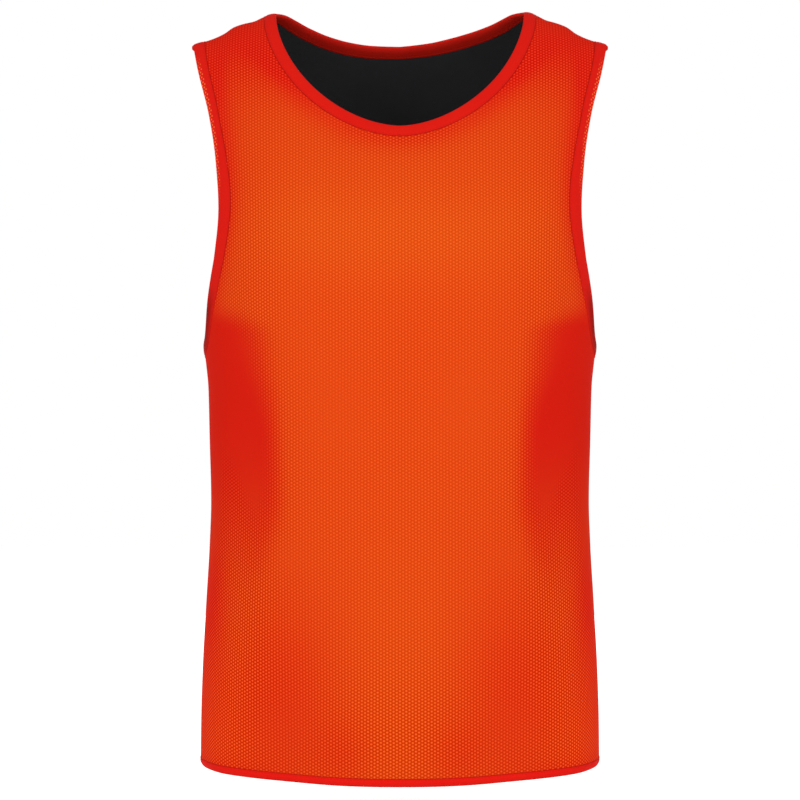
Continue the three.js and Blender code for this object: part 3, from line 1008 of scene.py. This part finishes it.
def mesh_material():
    """Red-orange mesh: lighter dots on a ground that runs from red to orange."""
    nodes = Nodes("red_orange_mesh", roughness=0.85, sheen=0.02, sheen_colour="mesh_sheen", specular=0.01)
    across, down = nodes.parts(nodes.attribute("cloth", "Vector"))[:2]
    waver = nodes.centred_noise(DOT_WAVER, scale=24)
    dot = lattice(nodes, nodes.add(across, waver), nodes.add(down, waver), CLOTH_DOT)
    above_mean = nodes.times(nodes.math("SUBTRACT", dot, MEAN_DOT), nodes.attribute("dots", "Fac"))
    shown = nodes.add(above_mean, MEAN_DOT, clamp=True)
    patches = nodes.centred_noise(TINT["patches"], scale=11, detail=4)
    # The tone carries painted light and shade: more orange where lit, redder where shaded.
    painted_tone = nodes.add(nodes.attribute("painted_tone", "Fac"), patches, clamp=True)
    ground = nodes.mix(painted_tone, dyed("ground_red"), dyed("ground_orange"))
    light = nodes.mix(painted_tone, dyed("dot_red"), dyed("dot_orange"))
    woven = nodes.mix(shown, ground, light)
    # Painted shade on the sides under the arms, as a deeper red.
    side = nodes.times(nodes.attribute("side", "Fac"), TINT["side"])
    woven = nodes.mix(side, woven, dyed("side_shade_red"))
    # Painted light on the lower sides, which makes their red brighter.
    woven = nodes.mix(nodes.attribute("side_light", "Fac"), woven, SIDE_LIGHT_GAIN, "MULTIPLY")
    seam = nodes.line(nodes.attribute("seam", "Fac"), MESH_SEAM)
    height = nodes.math("SUBTRACT", nodes.times(shown, RELIEF["dots"]), seam)
    nodes.bump(height, distance=0.0004, strength=0.4)
    return nodes.base(nodes.mix(nodes.times(seam, TINT["seam"]), woven, dyed("seam_red")))


def lining_material():
    """Smooth black cloth with a fine knit."""
    nodes = Nodes("black_lining", roughness=0.85, sheen=0.05, sheen_colour="lining_sheen", specular=0.12)
    across, down = nodes.parts(nodes.attribute("cloth", "Vector"))[:2]
    knit = nodes.add(nodes.wave(across, WALE_PITCH), nodes.wave(down, COURSE_PITCH))
    nodes.bump(knit, distance=0.0001, strength=0.4)
    share = nodes.add(nodes.times(knit, TINT["knit"]), nodes.noise(scale=14, detail=4))
    shade = nodes.mix(share, linear("lining_dark"), linear("lining_light"))
    seam = nodes.line(nodes.attribute("seam", "Fac"), LINING_SEAM)
    return nodes.base(nodes.mix(seam, shade, linear("lining_seam")))


def strip_material(name, lift):
    """Plain red binding with a row of stitches, with painted shade on the side that faces the lining."""
    nodes = Nodes(name, roughness=0.8, sheen=0.02, sheen_colour="strip_sheen", specular=0.02)
    along, inset, inside = nodes.parts(nodes.attribute("strip", "Vector"))
    armpit_shaded_red, free_edge = nodes.attribute("armpit_shaded_red", "Fac"), nodes.attribute("free_edge", "Fac")
    knit = nodes.times(nodes.add(nodes.wave(along, COURSE_PITCH), nodes.wave(inset, WALE_PITCH)), 0.5)
    off_row = nodes.math("ABSOLUTE", nodes.math("SUBTRACT", free_edge, STITCH_INSET))
    beat = nodes.step(nodes.wave(along, STITCH_PITCH), STITCH_BEAT["starts"], STITCH_BEAT["full"])
    stitch = nodes.times(nodes.line(off_row, STITCH_HALF), beat)
    height = nodes.add(nodes.times(knit, RELIEF["knit"]), nodes.times(stitch, RELIEF["stitches"]))
    nodes.bump(height, distance=0.0003, strength=0.5)
    varied = nodes.times(nodes.noise(scale=30, detail=4), TINT["varied"])
    # For the hem the outside red is lifted, as painted light.
    outside = nodes.mix(varied, dyed("strip_dark", lift), dyed("strip_light", lift))
    # Painted shade under the arm: the strip's red fades to the shaded cloth's red.
    outside = nodes.mix(armpit_shaded_red, outside, dyed("strip_shaded_red"))
    fold = nodes.mix(varied, dyed("fold_dark"), dyed("fold_light"))
    # Painted shade on the strip's inner side, deeper away from its fold.
    shaded_inside = nodes.mix(varied, dyed("inner_shade_dark"), dyed("inner_shade_light"))
    within = nodes.mix(nodes.step(inset, STRIP_INNER_SHADE["starts"], STRIP_INNER_SHADE["full"]), fold, shaded_inside)
    red = nodes.mix(inside, outside, within)
    # The edge line and the stitches fade in that painted shade.
    lines = nodes.math("SUBTRACT", 1, nodes.times(armpit_shaded_red, LINES_LOST))
    edge = nodes.times(nodes.line(free_edge, EDGE_LINE), lines)
    red = nodes.mix(nodes.times(edge, TINT["edge"]), red, dyed("edge_dark"))
    thread = nodes.times(nodes.times(stitch, TINT["thread"]), lines)
    red = nodes.mix(thread, red, dyed("thread"))
    dot = nodes.times(lattice(nodes, along, inset, FOLD_DOT), nodes.attribute("dots", "Fac"))
    dotted = nodes.mix(dot, red, dyed("fold_dot"))
    return nodes.base(nodes.mix(nodes.attribute("shade", "Fac"), dotted, dyed("armpit_shade")))


def folded_section(width, curl):
    """The section of a strip folded over an edge: rows of inset, offset and side."""
    angle = np.linspace(0, QUARTER, NOSE_STEPS + 1)
    nose = np.stack([STRIP_HALF * (1 - np.cos(angle)), STRIP_HALF * np.sin(angle)], axis=-1)
    share = np.linspace(0, 1, STRIP_STEPS + 1)[1:]
    inset = lerp(STRIP_HALF, width, share)
    puff = STRIP_PUFF["height"] * np.sin(np.pi * share) ** STRIP_PUFF["roundness"]
    groove = GROOVE["depth"] * np.exp(-(((width - STITCH_INSET - inset) / GROOVE["half"]) ** 2))
    offset = lerp(STRIP_HALF, STRIP_LIP["upper"], share) + puff - groove
    outer = np.vstack([nose, np.stack([inset, offset], axis=-1), [[width, STRIP_LIP["lower"]]]])
    inner = outer[1:][::-1] * np.array([1, -1])
    rows = np.vstack([outer, inner])
    side = np.concatenate([np.zeros(len(outer)), np.ones(len(inner))])
    offset = rows[:, 1] - curl * (1 - rows[:, 0] / width) ** 2
    return np.stack([rows[:, 0], offset, side], axis=-1)


def strip(name, loop, towards, width, curl, look):
    """A ring of cloth folded over a closed outline.

    The look holds a share of the width for each station, and functions that say from the points
    how clearly dots show on the fold, how far the red takes the painted shade under the arm, and
    how far the fold has painted shade.
    """
    section = folded_section(width, curl)
    count, size = len(loop), len(section)
    stretch = look["stretch"]
    points = np.zeros((count, size, 3))
    for j, (inset, offset, _) in enumerate(section):
        row = walk(loop, towards, inset * stretch) if inset > 0 else loop
        points[:, j] = raised(row, np.full(count, offset))
    ring = cloth(np.vstack([loop, loop[:1]]))
    along = lengths_along(ring)[:-1]
    index = np.arange(count * size).reshape(count, size)
    wrapped = np.vstack([index, index[:1]])
    wrapped = np.hstack([wrapped, wrapped[:, :1]])
    faces = grid_faces(wrapped, False)
    flat = points.reshape(-1, 3)
    a, b, c, d = (flat[faces[:, k]] for k in range(4))
    volume = dot_product(a, np.cross(b, c)).sum() + dot_product(a, np.cross(c, d)).sum()
    if volume < 0:
        faces = faces[:, ::-1]
    inset = np.outer(stretch, section[:, 0]).ravel()
    side = np.tile(section[:, 2], count)
    near_fold = soft_step(SHADE_WIDTH["ends"], SHADE_WIDTH["full"], inset)
    attributes = {
        "strip": np.stack([np.repeat(along, size), inset, side], axis=-1),
        "free_edge": np.repeat(stretch * width, size) - inset,
        "dots": look["dotted"](flat) * (1 - side) * (inset < FOLD_WIDTH),
        # Painted shade: the armhole strip's red fades under the arm, and its fold darkens.
        "armpit_shaded_red": look["shade_reddened"](flat),
        "shade": look["shaded"](flat) * near_fold,
    }
    return make_mesh(name, flat, faces, attributes)


def panel(name, face, sheet, offset):
    """One layer of a panel, as a single sheet at an offset from the middle surface."""
    places, faces = sheet
    points = raised(places, np.full(len(places), float(offset)))
    across_table, down_table, deepest = arc_tables(face)
    sideways = read_table(across_table, places[:, 0], places[:, 1], deepest)
    down = read_table(down_table, places[:, 0], places[:, 1], deepest)
    whole = read_table(across_table, np.ones(len(places)), places[:, 1], deepest)
    grain_level = np.full(len(places), float(level_at(np.array(GRAIN_DROP))))
    grain = GRAIN_DROP + down - read_table(down_table, places[:, 0], grain_level, deepest)
    grain -= GRAIN_SAG * (1 - (points[:, 0] / GRAIN_HALF) ** 2)
    attributes = {
        "cloth": np.stack([np.sign(places[:, 0]) * sideways, grain, np.zeros(len(places))], axis=-1),
        "seam": np.minimum(whole - sideways, down),
        # The tone carries painted light and shade.
        "painted_tone": painted_tone_of(points),
        # Painted shade on the sides under the arms.
        "side": side_shade_of(points),
        # Painted light on the lower sides.
        "side_light": side_light_of(points),
        "dots": dots_shown(points),
    }
    return make_mesh(name, points, faces if offset > 0 else faces[:, ::-1], attributes)


def sheet_area(piece):
    return sum(polygon.area for polygon in piece.data.polygons)


def flat_size(piece):
    """The width and the length in metres of the cloth that a panel is cut from."""
    cut = np.zeros(3 * len(piece.data.vertices))
    piece.data.attributes["cloth"].data.foreach_get("vector", cut)
    across, down = cut[0::3], cut[1::3]
    return float(np.ptp(across)) * MM, float(np.ptp(down)) * MM


# The closed outlines of the neck and of the right armhole, front first.
neck_front, neck_back = neck_half("front"), neck_half("back")
neck_loop = np.vstack([
    neck_front,
    neck_back[::-1][1:],
    mirrored(neck_back)[1:],
    mirrored(neck_front)[::-1][1:-1],
])
arm_front, arm_back = armhole_edge("front"), armhole_edge("back")
arm_loop = np.vstack([arm_front, arm_back[::-1][1:-1]])

DOWN, UP, LEFT, RIGHT = (0, 0, -1), (0, 0, 1), (-1, 0, 0), (1, 0, 0)

# The panels' edges, tucked under the strips.
neck_points = cloth(neck_loop)
back_width = smooth_column(NECK_STRIP_BACK, "out", "width")(np.abs(neck_points[:, 0]))
neck_width = np.where(neck_points[:, 1] > 0, back_width, BINDING_WIDTH)
neck_inside = walk(neck_loop, DOWN, neck_width - TUCK)
arm_width = smooth_column(ARMHOLE_STRIP, "drop", "width")(-cloth(arm_loop)[:, 2])
arm_inside = walk(arm_loop, LEFT, arm_width - TUCK)
necks = {
    "front": neck_inside[:EDGE_STEPS + 1],
    "back": neck_inside[EDGE_STEPS:2 * EDGE_STEPS + 1][::-1],
}
arms = {
    "front": arm_inside[:EDGE_STEPS + 1],
    "back": np.vstack([arm_inside[:1], arm_inside[EDGE_STEPS:][::-1]]),
}
tops, hems = {}, {}
for face in SIGN:
    necks[face] = kept_on(face, necks[face])
    arms[face] = kept_on(face, arms[face])
    tops[face] = top_row(necks[face], arms[face])
    hems[face] = hem_edge(face, tops[face])
hem_loop = np.vstack([hems["front"], hems["back"][::-1][1:-1]])
hem_inside = walk(hem_loop, UP, HEM_WIDTH - TUCK)
hem_corner = len(hems["front"]) - 1
hems["front"] = kept_on("front", hem_inside[:hem_corner + 1])
hems["back"] = kept_on("back", np.vstack([hem_inside[:1], hem_inside[hem_corner:][::-1]]))

mesh_cloth, lining_cloth = mesh_material(), lining_material()
binding_cloth, hem_cloth = strip_material("red_binding", 0), strip_material("red_hem", HEM_PAINTED_LIGHT)


def dress(piece, node, material):
    """Gives a piece its material, attaches it to the root body and hides the CAD node that it stands for.
    """
    piece.data.materials.append(material)
    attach(piece, "root")
    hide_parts(node)
    return piece


def nowhere(points):
    """Zeros, for a strip without a detail."""
    return np.zeros(len(points))


def upper_armhole(points):
    """Where the armhole strip's folded edge shows mesh, on the upper half of the front."""
    on_front = soft_step(FOLD_FACE["ends"], FOLD_FACE["full"], points[:, 1])
    return on_front * span_share(FOLD_SPAN, -points[:, 2])


def under_arm_shade(points):
    """Where the armhole strip takes the painted shade of the smooth cloth under the arm."""
    return soft_step(ARMPIT_SHADED_RED["starts"], ARMPIT_SHADED_RED["full"], -points[:, 2])


def in_shade(points):
    """Where the armhole strip's fold lies in shade, on the front's lower part."""
    on_front = soft_step(ARMPIT_SHADE["back"], ARMPIT_SHADE["front"], points[:, 1])
    return on_front * soft_step(ARMPIT_SHADE["starts"], ARMPIT_SHADE["full"], -points[:, 2])


arm_look = {
    "stretch": arm_width / BINDING_WIDTH,
    "dotted": upper_armhole,
    "shade_reddened": under_arm_shade,
    "shaded": in_shade,
}
plain_look = {"dotted": nowhere, "shade_reddened": nowhere, "shaded": nowhere}
neck_look = {"stretch": neck_width / BINDING_WIDTH, **plain_look}
hem_look = {"stretch": np.ones(len(hem_loop)), **plain_look}
neck_strip = strip("neck_strip", neck_loop, DOWN, BINDING_WIDTH, 0, neck_look)
right_strip = strip("armhole_strip_right", arm_loop, LEFT, BINDING_WIDTH, 0, arm_look)
left_strip = strip("armhole_strip_left", mirrored(arm_loop), RIGHT, BINDING_WIDTH, 0, arm_look)
hem_strip = strip("hem_strip", hem_loop, UP, HEM_WIDTH, HEM_CURL, hem_look)
strips = [
    dress(neck_strip, "neck_binding", binding_cloth),
    dress(right_strip, "armhole_binding_right", binding_cloth),
    dress(left_strip, "armhole_binding_left", binding_cloth),
    dress(hem_strip, "hem_band", hem_cloth),
]

for face in SIGN:
    sheet = panel_sheet(face, necks[face], arms[face], hems[face], tops[face])
    shell = dress(
        panel(f"{face}_mesh_sheet", face, sheet, OUTER_OFFSET),
        f"{face}_outer", mesh_cloth,
    )
    lining = dress(
        panel(f"{face}_lining_sheet", face, sheet, LINING_OFFSET),
        f"{face}_inner", lining_cloth,
    )
    size, area = flat_size(shell), sheet_area(shell)


def area_light(row):
    """A soft square lamp that faces the middle of the bib."""
    data = bpy.data.lights.new(row["name"], "AREA")
    data.shape = "SQUARE"
    data.size = row["size"]
    data.energy = row["power"]
    lamp = bpy.data.objects.new(row["name"], data)
    bpy.context.scene.collection.objects.link(lamp)
    location = (row["x"], row["y"], LAMP_HEIGHT)
    lamp.location = location
    aim = np.array([0, 0, CAMERA_HEIGHT]) - np.array(location)
    tilt = math.acos(-aim[2] / np.linalg.norm(aim))
    lamp.rotation_euler = (tilt, 0, math.atan2(aim[1], aim[0]) - QUARTER)


def studio():
    """A plain pale floor, a white surround, soft lamps and the camera."""
    scene = bpy.context.scene
    scene.view_settings.view_transform = "Standard"
    world = bpy.data.worlds.new("surround")
    scene.world = world
    world.use_nodes = True
    surround = world.node_tree.nodes["Background"]
    surround.inputs["Color"].default_value = WHITE
    surround.inputs["Strength"].default_value = SURROUND_STRENGTH
    height = cad_low.z - FLOOR_GAP
    signs = ((-1, -1), (1, -1), (1, 1), (-1, 1))
    corners = [(x * FLOOR_HALF, y * FLOOR_HALF, height) for x, y in signs]
    mesh = bpy.data.meshes.new("floor")
    mesh.from_pydata(corners, [], [(0, 1, 2, 3)])
    floor = bpy.data.objects.new("floor", mesh)
    look = bpy.data.materials.new("pale_floor")
    look.use_nodes = True
    shader = look.node_tree.nodes["Principled BSDF"]
    shader.inputs["Base Color"].default_value = FLOOR_COLOUR
    shader.inputs["Roughness"].default_value = FLOOR_ROUGHNESS
    shader.inputs["Emission Color"].default_value = WHITE
    shader.inputs["Emission Strength"].default_value = FLOOR_GLOW
    mesh.materials.append(look)
    scene.collection.objects.link(floor)
    for row in LAMPS:
        area_light(row)
    data = bpy.data.cameras.new("camera")
    data.lens = CAMERA_LENS
    camera = bpy.data.objects.new("camera", data)
    scene.collection.objects.link(camera)
    camera.location = (0, -CAMERA_DISTANCE, CAMERA_HEIGHT)
    camera.rotation_euler = (QUARTER, 0, 0)
    scene.camera = camera


studio()
